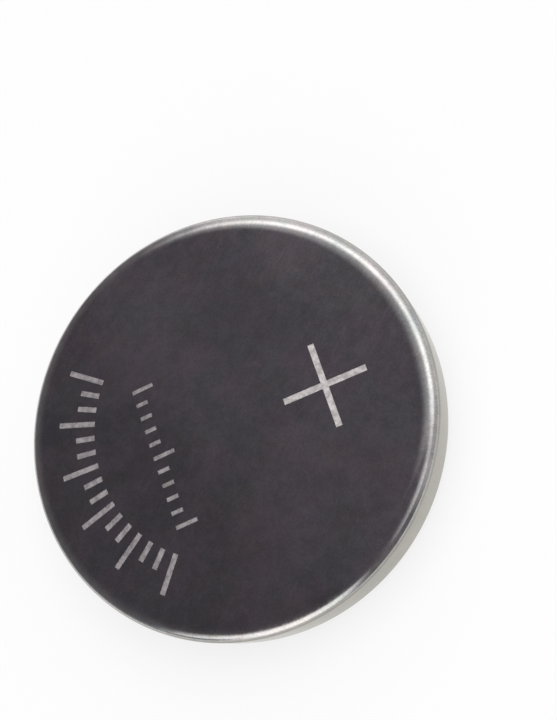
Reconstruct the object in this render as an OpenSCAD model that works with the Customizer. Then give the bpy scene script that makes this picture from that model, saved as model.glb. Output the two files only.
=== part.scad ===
// Lithium coin cell, 20 mm across and 3.2 mm high, resting on its negative cap.
// Origin at the centre of the negative contact face, +Z along the axis and out of the positive face.
// Every piece is a body of revolution, so each one is a section in radius and height, turned once.

/* [Cell] */
// Overall diameter of the cell
cell_d = 20; // [18:0.1:25]
// Overall height between the two contact faces
cell_h = 3.2; // [2.8:0.1:5]

/* [Positive can] */
// Sheet thickness of the can
can_sheet = 0.25; // [0.15:0.01:0.3]
// Outer radius of the wide arc that leads off the positive face
can_shoulder_r = 1.6; // [0.9:0.05:2.2]
// How far the wide arc turns down before the tight one, in degrees
can_shoulder_turn = 25; // [10:1:35]
// Outer radius of the tight arc, down to the can's wall
can_corner_r = 0.4; // [0.32:0.01:0.6]
// Outer radius of the rolled crimp on the negative side
crimp_r = 0.8; // [0.6:0.05:1]
// How far the crimp turns past its crown and into the seal, in degrees
crimp_dip = 15; // [8:1:28]

/* [Negative cap] */
// Sheet thickness of the cap
cap_sheet = 0.25; // [0.15:0.01:0.3]
// How far the contact face stands proud of the crimped rim
contact_step = 0.12; // [0.05:0.01:0.25]
// Width of the ledge that the crimp holds down
ledge_w = 0.75; // [0.6:0.05:1.1]
// Outer radius of the bend round the contact face
contact_edge_r = 0.35; // [0.3:0.01:0.45]
// Inner radius of the bend from the raised contact to the ledge
ledge_root_r = 0.12; // [0.05:0.01:0.2]
// Outer radius of the bend from the ledge to the skirt
skirt_bend_r = 0.4; // [0.32:0.02:0.5]

/* [Gasket] */
// Wall between the can and the skirt of the cap
gasket_wall = 0.4; // [0.3:0.05:0.6]
// Thickness left between the crimp's crown and the ledge once it is squeezed
gasket_squeeze = 0.2; // [0.12:0.02:0.35]
// Clearance between the lip and the bend at the ledge's root
lip_gap = 0.03; // [0.02:0.01:0.08]
// How far the lip lies inside the edge of the crimp
lip_sink = 0.05; // [0.02:0.01:0.08]
// Thickness of the foot between the skirt's edge and the can's base
gasket_foot_t = 0.45; // [0.3:0.05:0.6]
// Thickness of the short wall inside the skirt
gasket_inner_t = 0.35; // [0.2:0.05:0.5]
// Height of that wall above the foot
gasket_inner_h = 0.7; // [0.3:0.05:1.1]

/* [Electrodes] */
// Thickness of the lithium disc
anode_t = 0.6; // [0.4:0.05:0.8]
// Clearance between the lithium disc and the raised wall of the cap
anode_gap = 0.3; // [0.1:0.05:0.6]
// Thickness of the separator felt
separator_t = 0.15; // [0.1:0.01:0.25]
// Inner radius of the bend at the separator's rim
separator_bend_r = 0.15; // [0.05:0.01:0.25]
// How far the separator's rim stops short of the can's base
separator_stop = 0.6; // [0.2:0.05:0.9]
// Clearance round the electrode stack
stack_gap = 0.15; // [0.05:0.01:0.3]
// Sheet thickness of the collector ring
ring_t = 0.15; // [0.1:0.01:0.2]
// Height of the collector ring
ring_h = 1.1; // [0.7:0.05:1.4]
// Width of the ring's flange against the can's base
ring_flange_w = 1.6; // [1:0.1:2.5]
// Outer radius of the bend between the ring's wall and flange
ring_bend_r = 0.25; // [0.21:0.01:0.35]
// Clearance between the collector ring and the separator
ring_gap = 0.05; // [0.02:0.01:0.1]
// Bevel on the pressed pellet's edge
pellet_bevel = 0.12; // [0.05:0.01:0.2]

/* [Hidden] */
$fn = 128;
// Two sections overlap by this much where one is cut clean through the other
over = 0.5;

// Radii, from the outside in
can_or = cell_d / 2;
can_ir = can_or - can_sheet;
bend_r = can_or - crimp_r;
skirt_or = can_ir - gasket_wall;
skirt_ir = skirt_or - cap_sheet;
contact_or = skirt_or - ledge_w;
contact_ir = contact_or - cap_sheet;
lip_ir = contact_or + ledge_root_r + lip_gap;
gasket_ir = skirt_ir - gasket_inner_t;
anode_r = contact_ir - anode_gap;
separator_or = min(contact_ir, gasket_ir) - stack_gap;
separator_ir = separator_or - separator_t;
ring_or = separator_ir - ring_gap;
pellet_r = ring_or - ring_t;
flange_ir = ring_or - ring_flange_w;

// Heights, from the negative contact face up
bend_z = contact_step + crimp_r;
lip_z = bend_z - crimp_r * cos(crimp_dip) + lip_sink;
ledge_z = contact_step + can_sheet + gasket_squeeze;
base_z = cell_h - can_sheet;
foot_z = base_z - gasket_foot_t;
inner_wall_z = foot_z - gasket_inner_h;
anode_z = cap_sheet;
separator_z = anode_z + anode_t;
pellet_z = separator_z + separator_t;
flange_z = base_z - ring_t;
// The contact's edge bend is limited by the height of the raised wall
contact_bend_r = min(contact_edge_r, ledge_z - ledge_root_r);

// A rectangle from the axis, or from radius r0, to radius r1
module band(r0, z0, r1, z1) {
    translate([r0, z0]) square([r1 - r0, z1 - z0]);
}

// A filled section with its outer upper corner rounded
module rounded_above(r1, z0, z1, corner) {
    band(0, z0, r1, z1 - corner);
    band(0, z0, r1 - corner, z1);
    translate([r1 - corner, z1 - corner]) circle(corner);
}

// A filled section whose outer upper corner is a wide arc off the top, then a tight one
module shouldered_above(r1, z0, z1, wide, tight, turn) {
    wide_z = z1 - wide;
    tight_z = wide_z + (wide - tight) * cos(turn);
    tight_x = r1 - tight;
    wide_x = tight_x - (wide - tight) * sin(turn);
    band(0, z0, r1, tight_z);
    band(0, z0, wide_x, z1);
    translate([tight_x, tight_z]) circle(tight);
    translate([wide_x, wide_z]) intersection() {
        circle(wide);
        polygon([[0, 0], [0, 2 * wide], [2 * wide * tan(turn), 2 * wide]]);
    }
}

// A filled section with its outer lower corner rounded
module rounded_below(r1, z0, z1, corner) {
    band(0, z0 + corner, r1, z1);
    band(0, z0, r1 - corner, z1);
    translate([r1 - corner, z0 + corner]) circle(corner);
}

// The can as drawn, down to the start of the crimp, set inwards by the given amount
module drawn_can(inset, z0) {
    shouldered_above(
        can_or - inset, z0, cell_h - inset,
        can_shoulder_r - inset, can_corner_r - inset, can_shoulder_turn
    );
}

// The wedge that the crimp's rolled sheet fills, seen from the centre of its bend
module crimp_wedge() {
    reach = 2 * crimp_r;
    polygon([
        [0, 0],
        [reach, 0],
        [reach, -reach],
        [0, -reach],
        [-reach * sin(crimp_dip), -reach * cos(crimp_dip)]
    ]);
}

module can_section() {
    difference() {
        drawn_can(0, bend_z);
        drawn_can(can_sheet, bend_z - over);
    }
    translate([bend_r, bend_z]) intersection() {
        difference() {
            circle(crimp_r);
            circle(crimp_r - can_sheet);
        }
        crimp_wedge();
    }
}

// The cap's filled section, set inwards by the given amount, up to height z1
module cap_fill(inset, z1) {
    root_r = ledge_root_r + inset;
    rounded_below(contact_or - inset, inset, z1, contact_bend_r - inset);
    rounded_below(skirt_or - inset, ledge_z + inset, z1, skirt_bend_r - inset);
    difference() {
        band(
            contact_or - inset, ledge_z - ledge_root_r,
            contact_or + ledge_root_r, ledge_z + inset
        );
        translate([contact_or + ledge_root_r, ledge_z - ledge_root_r]) circle(root_r);
    }
}

module cap_section() {
    difference() {
        cap_fill(0, foot_z);
        cap_fill(cap_sheet, foot_z + over);
    }
}

// All that the seal could fill inside the can, before the cap is pressed in
module gasket_blank() {
    drawn_can(can_sheet, bend_z);
    translate([bend_r, bend_z]) circle(crimp_r - can_sheet);
    band(lip_ir, lip_z, bend_r, bend_z);
}

module gasket_section() {
    difference() {
        gasket_blank();
        can_section();
        cap_fill(0, foot_z);
        band(-over, -over, lip_ir, foot_z);
        band(-over, foot_z - over, gasket_ir, cell_h);
    }
    band(gasket_ir, inner_wall_z, skirt_ir, foot_z);
}

module separator_section() {
    difference() {
        rounded_below(
            separator_or, separator_z, base_z - separator_stop,
            separator_bend_r + separator_t
        );
        rounded_below(separator_ir, pellet_z, cell_h, separator_bend_r);
    }
}

module ring_section() {
    difference() {
        rounded_above(ring_or, base_z - ring_h, base_z, ring_bend_r);
        rounded_above(pellet_r, base_z - ring_h - over, flange_z, ring_bend_r - ring_t);
        band(-over, 0, flange_ir, cell_h);
    }
}

module pellet_section() {
    edge = max(pellet_bevel, separator_bend_r, ring_bend_r - ring_t);
    polygon([
        [0, pellet_z],
        [pellet_r - edge, pellet_z],
        [pellet_r, pellet_z + edge],
        [pellet_r, flange_z - edge],
        [pellet_r - edge, flange_z],
        [flange_ir, flange_z],
        [flange_ir, base_z],
        [0, base_z]
    ]);
}

// Drawn steel cup, its rim rolled in over the seal
module positive_can() {
    color("silver") rotate_extrude() can_section();
}

// Pressed steel lid: raised contact, ledge and skirt
module negative_cap() {
    color("gainsboro") rotate_extrude() cap_section();
}

// Moulded polypropylene seal: a lip, a wall, and a groove that takes the skirt's edge
module gasket() {
    color("dimgray") rotate_extrude() gasket_section();
}

// Punched lithium foil, pressed into the cap
module lithium_anode() {
    color("lightgray") translate([0, 0, anode_z]) cylinder(r = anode_r, h = anode_t);
}

// Nonwoven felt dish, turned up round the pellet
module separator() {
    color("white") rotate_extrude() separator_section();
}

// Pressed manganese dioxide tablet, seated in the ring and on the can's base
module cathode_pellet() {
    color("#2b2b2b") rotate_extrude() pellet_section();
}

// Steel ring round the pellet's edge, with its flange against the can's base
module collector_ring() {
    color("lightsteelblue") rotate_extrude() ring_section();
}

positive_can();
negative_cap();
gasket();
lithium_anode();
separator();
cathode_pellet();
collector_ring();
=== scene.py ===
"""Looks of a lithium coin cell that lies on its negative cap, positive face up. Lengths are in metres."""

import math

import bmesh
import bpy
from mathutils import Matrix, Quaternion, Vector


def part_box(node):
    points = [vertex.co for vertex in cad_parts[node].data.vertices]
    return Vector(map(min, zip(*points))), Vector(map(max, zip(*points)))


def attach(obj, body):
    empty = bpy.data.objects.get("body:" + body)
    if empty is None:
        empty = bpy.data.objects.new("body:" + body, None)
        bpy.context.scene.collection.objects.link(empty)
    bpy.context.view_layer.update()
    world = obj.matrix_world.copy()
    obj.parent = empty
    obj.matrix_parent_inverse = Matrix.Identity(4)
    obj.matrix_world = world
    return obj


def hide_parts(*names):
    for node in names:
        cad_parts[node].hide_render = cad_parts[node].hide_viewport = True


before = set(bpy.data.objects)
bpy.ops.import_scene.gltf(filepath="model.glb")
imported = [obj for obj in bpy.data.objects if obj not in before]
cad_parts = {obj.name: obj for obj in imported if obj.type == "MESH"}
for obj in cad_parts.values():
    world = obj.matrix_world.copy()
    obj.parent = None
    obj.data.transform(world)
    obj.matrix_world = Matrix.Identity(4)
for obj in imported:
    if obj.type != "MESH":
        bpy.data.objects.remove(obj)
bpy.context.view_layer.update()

MM = 0.001

# Sizes that the frame gives
CAN_LOW, CAN_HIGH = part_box("positive_can")
CAP_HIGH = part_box("negative_cap")[1]
SEAL_LOW, SEAL_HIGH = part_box("gasket")
CELL_R = CAN_HIGH.x
TOP = CAN_HIGH.z
CROWN = CAN_LOW.z
CAN_SHEET = CELL_R - SEAL_HIGH.x
CAP_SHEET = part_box("lithium_anode")[0].z
SKIRT_R = CAP_HIGH.x
SKIRT_TOP = CAP_HIGH.z
LIP_Z = SEAL_LOW.z

# Sizes that the frame's boxes don't show
SHOULDER_R = 1.6 * MM
SHOULDER_TURN = 25
CORNER_R = 0.4 * MM
CRIMP_R = 0.8 * MM
CRIMP_DIP = 15
LEDGE_W = 0.75 * MM
LEDGE_RISE = 0.2 * MM
CONTACT_EDGE_R = 0.35 * MM
LEDGE_ROOT_R = 0.12 * MM
SKIRT_BEND_R = 0.4 * MM
LIP_GAP = 0.03 * MM
INNER_WALL_T = 0.35 * MM
INNER_WALL_H = 0.7 * MM

# Where the pieces meet
CONTACT_R = SKIRT_R - LEDGE_W
LEDGE_Z = CROWN + CAN_SHEET + LEDGE_RISE
CRIMP_END = -90 - CRIMP_DIP
TURNED = math.radians(SHOULDER_TURN)

# Centres of the bends, as radius and height
CORNER_AT = (CELL_R - CORNER_R, TOP - SHOULDER_R + (SHOULDER_R - CORNER_R) * math.cos(TURNED))
SHOULDER_AT = (CORNER_AT[0] - (SHOULDER_R - CORNER_R) * math.sin(TURNED), TOP - SHOULDER_R)
CRIMP_AT = (CELL_R - CRIMP_R, CROWN + CRIMP_R)
SKIRT_BEND_AT = (SKIRT_R - SKIRT_BEND_R, LEDGE_Z + SKIRT_BEND_R)

# How many sides a turned piece has
SEGMENTS = 360
# A ring of points this far before a bend keeps the bend's shading off the flat
SUPPORT = 0.05 * MM
# Bends sharper than this many degrees stay sharp
SMOOTH_UP_TO = 35


def arc(centre, radius, start, end, steps):
    """Points (radius, height) on an arc about centre, from start to end in degrees, both included."""
    turns = [math.radians(start + (end - start) * i / steps) for i in range(steps + 1)]
    return [(centre[0] + radius * math.cos(t), centre[1] + radius * math.sin(t)) for t in turns]


def shoulder(inset, steps):
    """The can's drawn corner, set inwards: a wide arc off the face, then a tight one down to the wall."""
    turned = 90 - SHOULDER_TURN
    wide = arc(SHOULDER_AT, SHOULDER_R - inset, 90, turned, steps)
    return wide[:-1] + arc(CORNER_AT, CORNER_R - inset, turned, 0, steps)


def smooth(mesh):
    for polygon in mesh.polygons:
        polygon.use_smooth = True
    mesh.set_sharp_from_angle(angle=math.radians(SMOOTH_UP_TO))


def add_object(name, data):
    added = bpy.data.objects.new(name, data)
    bpy.context.scene.collection.objects.link(added)
    return added


def mesh_from(bm, name):
    mesh = bpy.data.meshes.new(name)
    bm.to_mesh(mesh)
    bm.free()
    return mesh


def revolve(name, outline):
    """A closed ring or disc: an outline of (radius, height) points, turned about Z."""
    bm = bmesh.new()
    rings = []
    for radius, height in outline:
        if radius == 0:
            rings.append([bm.verts.new((0, 0, height))])
            continue
        turns = [math.tau * i / SEGMENTS for i in range(SEGMENTS)]
        rings.append([bm.verts.new((radius * math.cos(t), radius * math.sin(t), height)) for t in turns])
    for ring, following in zip(rings, rings[1:] + rings[:1]):
        if len(ring) == len(following) == 1:
            continue
        for i in range(SEGMENTS):
            j = (i + 1) % SEGMENTS
            corners = [ring[i % len(ring)], following[i % len(following)]]
            corners += [following[j % len(following)], ring[j % len(ring)]]
            bm.faces.new(dict.fromkeys(corners))
    bmesh.ops.recalc_face_normals(bm, faces=bm.faces)
    mesh = mesh_from(bm, name)
    smooth(mesh)
    return add_object(name, mesh)


# Materials

# Spans of a noise's values, which lie about 0.5: most of them, and the middle ones
MOST = (0.3, 0.7)
MIDDLE = (0.36, 0.64)


class Tree:
    """A node tree, with short ways to add nodes and link them."""

    def __init__(self, tree):
        self.tree = tree

    def add(self, kind, **settings):
        node = self.tree.nodes.new(kind)
        for key, value in settings.items():
            setattr(node, key, value)
        return node

    def link(self, output, socket):
        self.tree.links.new(output, socket)

    def ranged(self, value, low, high, to_low, to_high):
        """value from low..high to to_low..to_high, clamped, with a soft start and end."""
        node = self.add("ShaderNodeMapRange", interpolation_type="SMOOTHSTEP")
        self.link(value, node.inputs["Value"])
        for key, number in zip(("From Min", "From Max", "To Min", "To Max"), (low, high, to_low, to_high)):
            node.inputs[key].default_value = number
        return node.outputs["Result"]

    def maths(self, kind, *values):
        node = self.add("ShaderNodeMath", operation=kind)
        for socket, value in zip(node.inputs, values):
            if isinstance(value, (int, float)):
                socket.default_value = value
            else:
                self.link(value, socket)
        return node.outputs["Value"]

    def split(self, vector):
        """The X, Y and Z of a vector."""
        node = self.add("ShaderNodeSeparateXYZ")
        self.link(vector, node.inputs[0])
        return node.outputs

    def facing(self, way, axis):
        """How far a direction points along an axis."""
        node = self.add("ShaderNodeVectorMath", operation="DOT_PRODUCT")
        self.link(way, node.inputs[0])
        node.inputs[1].default_value = axis
        return node.outputs["Value"]


class Finish(Tree):
    """A material, with the patterns that these finishes share."""

    def __init__(self, name):
        self.material = bpy.data.materials.new(name)
        self.material.use_nodes = True
        super().__init__(self.material.node_tree)
        self.shader = self.tree.nodes["Principled BSDF"]
        self.place = self.add("ShaderNodeTexCoord").outputs["Object"]

    def set(self, **values):
        for key, value in values.items():
            self.shader.inputs[key.replace("_", " ")].default_value = value

    def finished(self, colour, rough, normal):
        """The material, with these three linked to its shader."""
        for key, output in (("Base Color", colour), ("Roughness", rough), ("Normal", normal)):
            self.link(output, self.shader.inputs[key])
        return self.material

    def stretched(self, stretch, turn=0):
        """Object coordinates, turned by some degrees about Z and stretched."""
        mapping = self.add("ShaderNodeMapping")
        self.link(self.place, mapping.inputs["Vector"])
        mapping.inputs["Rotation"].default_value = (0, 0, math.radians(turn))
        mapping.inputs["Scale"].default_value = stretch
        return mapping.outputs["Vector"]

    def noise(self, size, detail=3, rough=0.5, place=None):
        """Noise whose features measure about size."""
        node = self.add("ShaderNodeTexNoise")
        self.link(place or self.place, node.inputs["Vector"])
        node.inputs["Scale"].default_value = 1 / size
        node.inputs["Detail"].default_value = detail
        node.inputs["Roughness"].default_value = rough
        return node.outputs["Fac"]

    def mixed(self, share, first, second):
        """Between two colours, either of them a socket or three numbers."""
        node = self.add("ShaderNodeMix", data_type="RGBA")
        self.link(share, node.inputs[0])
        for socket, colour in ((node.inputs[6], first), (node.inputs[7], second)):
            if isinstance(colour, tuple):
                socket.default_value = (*colour, 1)
            else:
                self.link(colour, socket)
        return node.outputs[2]

    def shaded(self, colour, factor):
        """A colour times a factor that varies."""
        node = self.add("ShaderNodeVectorMath", operation="SCALE")
        self.link(colour, node.inputs[0])
        self.link(factor, node.inputs["Scale"])
        return node.outputs["Vector"]

    def tinted(self, colour, tint):
        """A colour times another one."""
        node = self.add("ShaderNodeVectorMath", operation="MULTIPLY")
        self.link(colour, node.inputs[0])
        self.link(tint, node.inputs[1])
        return node.outputs["Vector"]

    def bump(self, height, depth, under=None):
        node = self.add("ShaderNodeBump")
        self.link(height, node.inputs["Height"])
        node.inputs["Distance"].default_value = depth
        node.inputs["Strength"].default_value = 1
        if under is not None:
            self.link(under, node.inputs["Normal"])
        return node.outputs["Normal"]


# Where the nickel's film leans to yellow and to blue
YELLOWED = (1.006, 1, 0.972)
BLUED = (0.994, 1, 1.028)
# How dark the drawing lines of the can's wall are
RUBBED = 0.92
# How far below the face the wall's darker colour, which is painted shade, begins, the face's colour is
# whole, and the hairlines end
WALL_FROM = 0.4 * MM
FACE_FROM = 0.2 * MM
FLAT_WITHIN = 0.01 * MM
# How many times as long as wide a hairline is
HAIRLINE_STRETCH = 60


def hairlines(nodes, turn, spacing):
    """Sparse fine scratches that run one way and break off, as a height from 0 to 1."""
    lengthwise = nodes.stretched((1 / HAIRLINE_STRETCH, 1, 1), turn)
    lines = nodes.ranged(nodes.noise(spacing, detail=1, place=lengthwise), 0.66, 0.72, 0, 1)
    broken = nodes.ranged(nodes.noise(2.2 * MM, detail=2), 0.52, 0.62, 0, 1)
    return nodes.maths("MULTIPLY", lines, broken)


def nickel(nodes, light, dark):
    """Cloudy between two colours, under a film that leans to yellow or blue, and finely mottled."""
    patches = nodes.noise(2.4 * MM, detail=6, rough=0.7)
    colour = nodes.mixed(nodes.ranged(patches, *MIDDLE, 0, 1), dark, light)
    film = nodes.noise(1.3 * MM, detail=6, rough=0.75)
    colour = nodes.tinted(colour, nodes.mixed(nodes.ranged(film, *MIDDLE, 0, 1), YELLOWED, BLUED))
    mottle = nodes.noise(0.5 * MM, detail=4, rough=0.75)
    return nodes.shaded(colour, nodes.ranged(mottle, *MIDDLE, 0.95, 1.05))


def drawn(nodes, colour, scratches, speckle, wall):
    """The can's colour and scratches: the die has left drawing lines on its wall, whose darker colour is
    painted shade, and only its flat face has hairlines.
    """
    height = nodes.split(nodes.place)["Z"]
    # The wall's colour is painted shade, darker than the face; its drawing lines are darker still
    painted_shade_line_colour = tuple(RUBBED * channel for channel in wall)
    lines_and_painted_shade = nodes.mixed(nodes.ranged(speckle, *MOST, 0, 1), painted_shade_line_colour, wall)
    on_face = nodes.ranged(height, TOP - WALL_FROM, TOP - FACE_FROM, 0, 1)
    on_flat = nodes.ranged(height, TOP - FLAT_WITHIN, TOP, 0, 1)
    return nodes.mixed(on_face, lines_and_painted_shade, colour), nodes.maths("MULTIPLY", scratches, on_flat)


def steel(name, light, dark, smooth_at, dull_at, wall=None):
    """Nickel-plated sheet, tarnished, with rolled grain, speckle, hairlines, and smudges that dull it.

    smooth_at and dull_at are its roughness outside and inside the smudges, and wall is the colour of the
    can's drawn wall, darker than the face as painted shade. The speckle is stretched upright, so it becomes
    the drawing lines of a wall.
    """
    nodes = Finish(name)
    nodes.set(Metallic=1, Specular_Tint=(0.92, 0.9, 0.87, 1))
    speckle = nodes.noise(0.1 * MM, detail=2, rough=0.7, place=nodes.stretched((1, 1, 0.03)))
    colour = nodes.shaded(nickel(nodes, light, dark), nodes.ranged(speckle, *MOST, 0.91, 1.09))
    scratches = nodes.maths("MAXIMUM", hairlines(nodes, 35, 0.05 * MM), hairlines(nodes, -62, 0.06 * MM))
    if wall is not None:
        colour, scratches = drawn(nodes, colour, scratches, speckle, wall)
    tarnish = nodes.noise(4 * MM, detail=6, rough=0.7)
    colour = nodes.shaded(colour, nodes.ranged(tarnish, *MIDDLE, 0.92, 1.08))
    grain = nodes.noise(0.09 * MM, detail=2, place=nodes.stretched((0.12, 1, 1), 20))
    smudge = nodes.noise(1.6 * MM, detail=5, rough=0.65)
    worn = nodes.ranged(smudge, 0.4, 0.7, smooth_at, dull_at)
    rough = nodes.maths("ADD", worn, nodes.ranged(grain, *MOST, -0.02, 0.03))
    normal = nodes.bump(scratches, -0.0012 * MM, under=nodes.bump(grain, 0.0006 * MM))
    return nodes.finished(colour, rough, normal)


def etched_steel(name, dark, light):
    """The frosted floor of marks that are etched into the face: pitted, so it scatters like an oxide."""
    nodes = Finish(name)
    nodes.set(Metallic=0.35, Specular_IOR_Level=0.3)
    cloud = nodes.noise(0.3 * MM, detail=5, rough=0.7)
    colour = nodes.mixed(nodes.ranged(cloud, 0.35, 0.65, 0, 1), dark, light)
    rough = nodes.ranged(cloud, *MOST, 0.5, 0.75)
    pits = nodes.noise(0.03 * MM, detail=3, rough=0.7)
    return nodes.finished(colour, rough, nodes.bump(pits, 0.006 * MM))


def polypropylene():
    """Moulded natural polypropylene, faintly cloudy."""
    nodes = Finish("polypropylene")
    nodes.set(IOR=1.49)
    cloud = nodes.noise(0.8 * MM, detail=4)
    colour = nodes.mixed(cloud, (0.30, 0.29, 0.27), (0.42, 0.41, 0.38))
    rough = nodes.ranged(cloud, *MOST, 0.32, 0.5)
    orange_peel = nodes.noise(0.08 * MM, detail=2)
    return nodes.finished(colour, rough, nodes.bump(orange_peel, 0.002 * MM))


def lithium_foil():
    """Soft rolled foil, dulled in patches."""
    nodes = Finish("lithium_foil")
    nodes.set(Metallic=1)
    patches = nodes.noise(1.2 * MM, detail=5, rough=0.65)
    colour = nodes.mixed(nodes.ranged(patches, 0.4, 0.62, 0, 1), (0.62, 0.62, 0.64), (0.40, 0.40, 0.43))
    rough = nodes.ranged(patches, 0.35, 0.65, 0.3, 0.62)
    rolled = nodes.noise(0.12 * MM, detail=3, place=nodes.stretched((0.05, 1, 1)))
    return nodes.finished(colour, rough, nodes.bump(rolled, 0.004 * MM))


def felt():
    """Nonwoven fibre, laid three ways."""
    nodes = Finish("felt")
    nodes.set(Sheen_Weight=0.25, Sheen_Roughness=0.5)
    fibres = 0
    for turn in (15, 75, 135):
        more = nodes.noise(0.05 * MM, detail=3, place=nodes.stretched((0.08, 1, 1), turn))
        fibres = nodes.maths("MAXIMUM", fibres, more)
    colour = nodes.mixed(nodes.ranged(fibres, 0.45, 0.75, 0, 1), (0.62, 0.61, 0.57), (0.84, 0.83, 0.79))
    rough = nodes.ranged(fibres, 0.4, 0.8, 0.95, 0.7)
    return nodes.finished(colour, rough, nodes.bump(fibres, 0.02 * MM))


def pressed_powder():
    """Pressed manganese dioxide and graphite: matt black grains, polished where the punch slid."""
    nodes = Finish("pressed_powder")
    nodes.set(IOR=1.6)
    grains = nodes.add("ShaderNodeTexVoronoi")
    nodes.link(nodes.place, grains.inputs["Vector"])
    grains.inputs["Scale"].default_value = 1 / (0.07 * MM)
    grain = grains.outputs["Distance"]
    colour = nodes.mixed(grain, (0.022, 0.021, 0.021), (0.055, 0.053, 0.052))
    rough = nodes.ranged(nodes.noise(0.9 * MM, detail=5, rough=0.6), 0.35, 0.65, 0.9, 0.55)
    return nodes.finished(colour, rough, nodes.bump(grain, 0.012 * MM))


# Pieces

def can_outline():
    """From the middle of the face over its corner and wall to the crimp's end, and back inside."""
    points = [(0, TOP), (SHOULDER_AT[0] - SUPPORT, TOP)]
    points += shoulder(0, steps=14)
    points += arc(CRIMP_AT, CRIMP_R, 0, CRIMP_END, steps=28)
    points += arc(CRIMP_AT, CRIMP_R - CAN_SHEET, CRIMP_END, 0, steps=20)
    points += shoulder(CAN_SHEET, steps=8)[::-1]
    points += [(0, TOP - CAN_SHEET)]
    return points


def cap_outline():
    """Up the cap's outer side from the contact, over the skirt's edge, and back down its inner side."""
    edge = (CONTACT_R - CONTACT_EDGE_R, CONTACT_EDGE_R)
    root = (CONTACT_R + LEDGE_ROOT_R, LEDGE_Z - LEDGE_ROOT_R)
    points = [(0, 0), (edge[0] - SUPPORT, 0)]
    points += arc(edge, CONTACT_EDGE_R, -90, 0, steps=14)
    points += arc(root, LEDGE_ROOT_R, 180, 90, steps=8)
    points += arc(SKIRT_BEND_AT, SKIRT_BEND_R, -90, 0, steps=12)
    points += [(SKIRT_R, SKIRT_TOP), (SKIRT_R - CAP_SHEET, SKIRT_TOP)]
    points += arc(SKIRT_BEND_AT, SKIRT_BEND_R - CAP_SHEET, 0, -90, steps=8)
    points += arc(root, LEDGE_ROOT_R + CAP_SHEET, 90, 180, steps=12)
    points += arc(edge, CONTACT_EDGE_R - CAP_SHEET, 0, -90, steps=6)
    points += [(0, CAP_SHEET)]
    return points


def seal_outline():
    """From the lip's inner edge, outwards along the crimp and the can, and back round the skirt."""
    lip_r = CONTACT_R + LEDGE_ROOT_R + LIP_GAP
    crimp_edge_r = CRIMP_AT[0] - (CRIMP_AT[1] - LIP_Z) * math.tan(math.radians(CRIMP_DIP))
    skirt_ir = SKIRT_R - CAP_SHEET
    inner_r = skirt_ir - INNER_WALL_T
    inner_z = SKIRT_TOP - INNER_WALL_H
    points = [(lip_r, LIP_Z), (crimp_edge_r, LIP_Z)]
    points += arc(CRIMP_AT, CRIMP_R - CAN_SHEET, CRIMP_END, 0, steps=20)
    points += shoulder(CAN_SHEET, steps=8)[::-1]
    points += [(inner_r, TOP - CAN_SHEET), (inner_r, inner_z), (skirt_ir, inner_z)]
    points += [(skirt_ir, SKIRT_TOP), (SKIRT_R, SKIRT_TOP)]
    points += arc(SKIRT_BEND_AT, SKIRT_BEND_R, 0, -90, steps=12)
    points += [(lip_r, LEDGE_Z)]
    return points


# Marks etched into the positive face: a plus sign, a scale along an arc and a scale along a line

MARK_DEPTH = 0.02 * MM
PLUS_CENTRE = (3.43 * MM, -3.73 * MM)
PLUS_LENGTH = 4.05 * MM
PLUS_WIDTH = 0.3 * MM
PLUS_TURN = 48.7
ARC_R = 7.42 * MM
ARC_FROM, ARC_TO = 101, 191
ARC_TALL, ARC_SHORT, ARC_TICK_W = 1.9 * MM, 1.0 * MM, 0.26 * MM
ARC_TICKS, ARC_TALL_EVERY = 16, 3
ROW_START, ROW_END = (-4.95 * MM, -1.0 * MM), (-0.6 * MM, 4.3 * MM)
ROW_TALL, ROW_SHORT, ROW_TICK_W = 1.1 * MM, 0.6 * MM, 0.195 * MM
ROW_TICKS, ROW_TALL_EVERY = 11, 5
# Where the marks' materials stand in the list of them
SIGN_SLOT, SCALE_SLOT = 0, 1


def along_and_across(turn):
    return Vector((math.cos(turn), math.sin(turn))), Vector((-math.sin(turn), math.cos(turn)))


def punch(bm, corners, slot):
    """An upright block that cuts a mark into the face. slot is the material of the mark's floor."""
    bottom = [bm.verts.new((*corner, TOP - MARK_DEPTH)) for corner in corners]
    top = [bm.verts.new((*corner, TOP + MARK_DEPTH)) for corner in corners]
    faces = [bm.faces.new(bottom[::-1]), bm.faces.new(top)]
    for i in range(len(corners)):
        j = (i + 1) % len(corners)
        faces.append(bm.faces.new((bottom[i], bottom[j], top[j], top[i])))
    for face in faces:
        face.material_index = slot


def tick(bm, middle, length, width, turn):
    along, across = along_and_across(turn)
    corners = []
    for end, side in ((-1, -1), (1, -1), (1, 1), (-1, 1)):
        corners.append(Vector(middle) + along * (end * length / 2) + across * (side * width / 2))
    punch(bm, corners, SCALE_SLOT)


def plus_sign(bm):
    """Each arm gives the two corners of its end, and the notch between it and the next arm."""
    centre, half = Vector(PLUS_CENTRE), PLUS_WIDTH / 2
    corners = []
    for i in range(4):
        along, across = along_and_across(math.radians(PLUS_TURN + 90 * i))
        for reach, side in ((PLUS_LENGTH / 2, -half), (PLUS_LENGTH / 2, half), (half, half)):
            corners.append(centre + along * reach + across * side)
    punch(bm, corners, SIGN_SLOT)


def arc_scale(bm):
    """Ticks along an arc about the face's middle. The short ones stand on its inner side."""
    for i in range(ARC_TICKS):
        turn = math.radians(ARC_FROM + (ARC_TO - ARC_FROM) * i / (ARC_TICKS - 1))
        tall = ARC_SHORT if i % ARC_TALL_EVERY else ARC_TALL
        reach = ARC_R + (tall - ARC_TALL) / 2
        tick(bm, (reach * math.cos(turn), reach * math.sin(turn)), tall, ARC_TICK_W, turn)


def row_scale(bm):
    """Ticks along a straight line."""
    start, end = Vector(ROW_START), Vector(ROW_END)
    way = end - start
    turn = math.atan2(way.y, way.x) + math.pi / 2
    upright = along_and_across(turn)[0]
    for i in range(ROW_TICKS):
        tall = ROW_SHORT if i % ROW_TALL_EVERY else ROW_TALL
        middle = start + way * i / (ROW_TICKS - 1) - upright * (tall - ROW_TALL) / 2
        tick(bm, middle, tall, ROW_TICK_W, turn)


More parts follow.
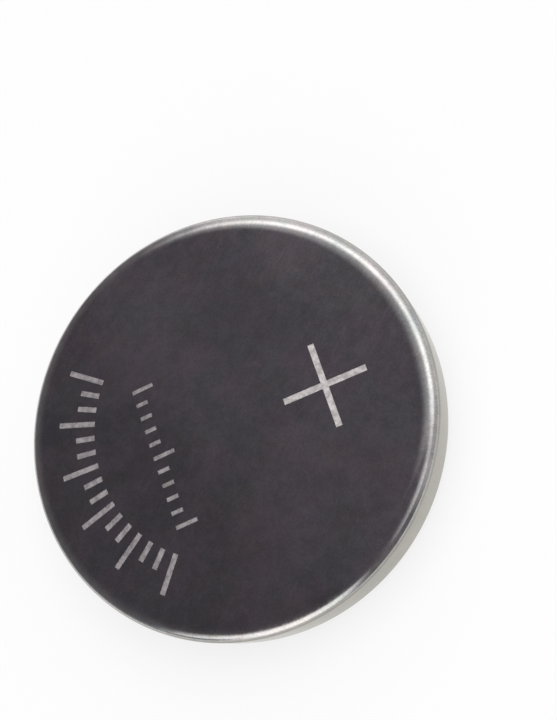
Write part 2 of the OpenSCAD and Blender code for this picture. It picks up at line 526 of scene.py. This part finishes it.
def etch_marks(can):
    bm = bmesh.new()
    plus_sign(bm)
    arc_scale(bm)
    row_scale(bm)
    mesh = mesh_from(bm, "strokes")
    for material in (
        etched_steel("etched_sign", (0.46, 0.435, 0.425), (0.76, 0.72, 0.705)),
        etched_steel("etched_scale", (0.25, 0.228, 0.235), (0.42, 0.393, 0.4)),
    ):
        mesh.materials.append(material)
        can.data.materials.append(material)
    strokes = add_object("strokes", mesh)
    cut = can.modifiers.new("etch", "BOOLEAN")
    cut.operation = "DIFFERENCE"
    cut.solver = "EXACT"
    cut.material_mode = "TRANSFER"
    cut.object = strokes
    graph = bpy.context.evaluated_depsgraph_get()
    carved = bpy.data.meshes.new_from_object(can.evaluated_get(graph))
    can.modifiers.clear()
    can.data = carved
    smooth(carved)
    bpy.data.objects.remove(strokes)


def place(piece, node, slot):
    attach(piece, "root")
    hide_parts(node)


def dress(node, material):
    """A better finish for a CAD node that stays."""
    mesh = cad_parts[node].data
    mesh.materials.clear()
    mesh.materials.append(material)


def can_shell():
    can = revolve("can_shell", can_outline())
    # The wall's colour is darker than the face's steel: painted shade, for the darker surroundings that the
    # wall mirrors
    light, dark, wall = (0.512, 0.48, 0.47), (0.445, 0.458, 0.445), (0.33, 0.324, 0.293)
    can.data.materials.append(steel("can_steel", light, dark, smooth_at=0.1, dull_at=0.16, wall=wall))
    etch_marks(can)
    place(can, "positive_can", "can_steel")


def cap_shell():
    cap = revolve("cap_shell", cap_outline())
    light, dark = (0.51, 0.495, 0.48), (0.47, 0.46, 0.445)
    cap.data.materials.append(steel("cap_steel", light, dark, smooth_at=0.18, dull_at=0.26))
    place(cap, "negative_cap", "cap_steel")


def seal_ring():
    seal = revolve("seal_ring", seal_outline())
    seal.data.materials.append(polypropylene())
    place(seal, "gasket", "seal")


def electrode_stack():
    dress("lithium_anode", lithium_foil())
    dress("separator", felt())
    dress("cathode_pellet", pressed_powder())
    light, dark = (0.50, 0.49, 0.48), (0.46, 0.45, 0.44)
    dress("collector_ring", steel("ring_steel", light, dark, smooth_at=0.3, dull_at=0.42))


# Stage

FLOOR_R = 1.5
FLOOR_DROP = 0.01 * MM
FLOOR_SIDES = 96
PAPER = (0.93, 0.93, 0.93, 1)
# How much of the floor's shade is lifted to white
SHADE_LIFT = 0.7


def pale_floor():
    """White paper. Where the camera, a mirror or glass sees it, most of its shade is lifted to white."""
    nodes = Finish("pale_floor")
    nodes.set(Roughness=0.9, Specular_IOR_Level=0, Base_Color=PAPER)
    rays = nodes.add("ShaderNodeLightPath").outputs
    seen = nodes.maths("MAXIMUM", rays["Is Camera Ray"], rays["Is Glossy Ray"])
    seen = nodes.maths("MAXIMUM", seen, rays["Is Transmission Ray"])
    mix = nodes.add("ShaderNodeMixShader")
    nodes.link(nodes.maths("MULTIPLY", seen, SHADE_LIFT), mix.inputs["Fac"])
    nodes.link(nodes.shader.outputs["BSDF"], mix.inputs[1])
    nodes.link(nodes.add("ShaderNodeEmission").outputs["Emission"], mix.inputs[2])
    nodes.link(mix.outputs["Shader"], nodes.tree.nodes["Material Output"].inputs["Surface"])
    return nodes.material


def floor():
    bm = bmesh.new()
    bmesh.ops.create_circle(bm, cap_ends=True, segments=FLOOR_SIDES, radius=FLOOR_R)
    mesh = mesh_from(bm, "floor")
    mesh.materials.append(pale_floor())
    ground = add_object("floor", mesh)
    ground.location.z = -FLOOR_DROP


# Each panel of the studio, in degrees: the compass direction of its middle, its half width, its lower
# and upper edge and how soft those are; last, its brightness
PANELS = (
    (-18, 82, 39, 50, 5, 0.48),
    (-10, 70, -30, 50, 8, 0.34),
    (8, 46, 41, 53, 5, 0.46),
    (5, 49, -30, 50, 8, 0.3),
    (8, 56, 35, 66, 15, 0.5),
    (52, 15, -30, 18, 10, 0.8),
    (-146, 22, -5, 41, 5, 1.6),
    (-178, 10, 20, 41, 5, 1.4),
    (138, 50, -10, 21, 6, 0.22),
    (90, 180, -60, 42, 20, 0.1),
)
PANEL_SIDE_EDGE = 10
DOME_LEAN = 12
CEILING = (0.123, 0.1095, 0.132)
# The ceiling is darker by this factor past an edge, which is given by the way it faces and where it lies
SHADED_WAY, SHADED_FROM, SHADED_TO, SHADED = (-0.93, 0.36, 0), 0.16, 0.21, 0.72
LAMP_SIZE, LAMP_HEIGHT, LAMP_WATTS = 0.6, 0.5, 1.75


def panels():
    """A dark ceiling, darker still to one side, and soft panels round it that lean to the far side."""
    world = bpy.data.worlds.new("studio")
    bpy.context.scene.world = world
    world.use_nodes = True
    nodes = Tree(world.node_tree)
    way = nodes.add("ShaderNodeTexCoord").outputs["Generated"]
    parts = nodes.split(way)
    compass = nodes.maths("DEGREES", nodes.maths("ARCTAN2", parts["Y"], parts["X"]))
    lean = math.radians(DOME_LEAN)
    leaning = nodes.facing(way, (0, math.sin(lean), math.cos(lean)))
    height = nodes.maths("DEGREES", nodes.maths("ARCSINE", leaning))
    light = 0
    for middle, half, low, high, edge, bright in PANELS:
        aside = nodes.maths("WRAP", nodes.maths("SUBTRACT", compass, middle), 180, -180)
        aside = nodes.maths("ABSOLUTE", aside)
        across = nodes.ranged(aside, half - PANEL_SIDE_EDGE, half + PANEL_SIDE_EDGE, bright, 0)
        above = nodes.ranged(height, low - edge, low + edge, 0, 1)
        below = nodes.ranged(height, high - edge, high + edge, 1, 0)
        panel = nodes.maths("MULTIPLY", across, nodes.maths("MULTIPLY", above, below))
        light = nodes.maths("ADD", light, panel)
    shaded = nodes.ranged(nodes.facing(way, SHADED_WAY), SHADED_FROM, SHADED_TO, 1, SHADED)
    colour = nodes.add("ShaderNodeCombineXYZ")
    for i, value in enumerate(CEILING):
        nodes.link(nodes.maths("MULTIPLY_ADD", shaded, value, light), colour.inputs[i])
    nodes.link(colour.outputs["Vector"], nodes.tree.nodes["Background"].inputs["Color"])


def lamp():
    """A wide soft lamp overhead that lights the floor and isn't mirrored in the metal."""
    data = bpy.data.lights.new("overhead", "AREA")
    data.size = LAMP_SIZE
    data.energy = LAMP_WATTS
    overhead = add_object("overhead", data)
    overhead.location.z = LAMP_HEIGHT
    overhead.visible_glossy = False


# Camera, at the photograph's viewing angle

PHOTO_W, PHOTO_H = 557, 720
CENTRE = Vector((0, 0, TOP / 2))
CAMERA_DISTANCE = 50 * MM
CAMERA_TILT = 24.1
CAMERA_ROLL = 28.2
PIXELS_PER_METRE = 21.18 / MM
CELL_AT_PIXEL = (233.7, 423.6)
SENSOR_MM = 36
NEAREST, FARTHEST = 0.005, 10


def camera():
    data = bpy.data.cameras.new("camera")
    focal_pixels = PIXELS_PER_METRE * CAMERA_DISTANCE
    data.sensor_width = SENSOR_MM
    data.lens = SENSOR_MM * focal_pixels / PHOTO_H
    data.clip_start, data.clip_end = NEAREST, FARTHEST
    tilt = math.radians(CAMERA_TILT)
    back = Vector((0, -math.sin(tilt), math.cos(tilt)))
    eye = add_object("camera", data)
    eye.location = CENTRE + back * CAMERA_DISTANCE
    turned = (-back).to_track_quat("-Z", "Y") @ Quaternion((0, 0, 1), math.radians(CAMERA_ROLL - 90))
    aside = Vector((CELL_AT_PIXEL[0] - PHOTO_W / 2, PHOTO_H / 2 - CELL_AT_PIXEL[1], -focal_pixels))
    eye.rotation_mode = "QUATERNION"
    eye.rotation_quaternion = turned @ aside.rotation_difference(Vector((0, 0, -1)))
    bpy.context.scene.camera = eye


can_shell()
cap_shell()
seal_ring()
electrode_stack()
floor()
panels()
lamp()
camera()
bpy.context.scene.view_settings.view_transform = "Standard"
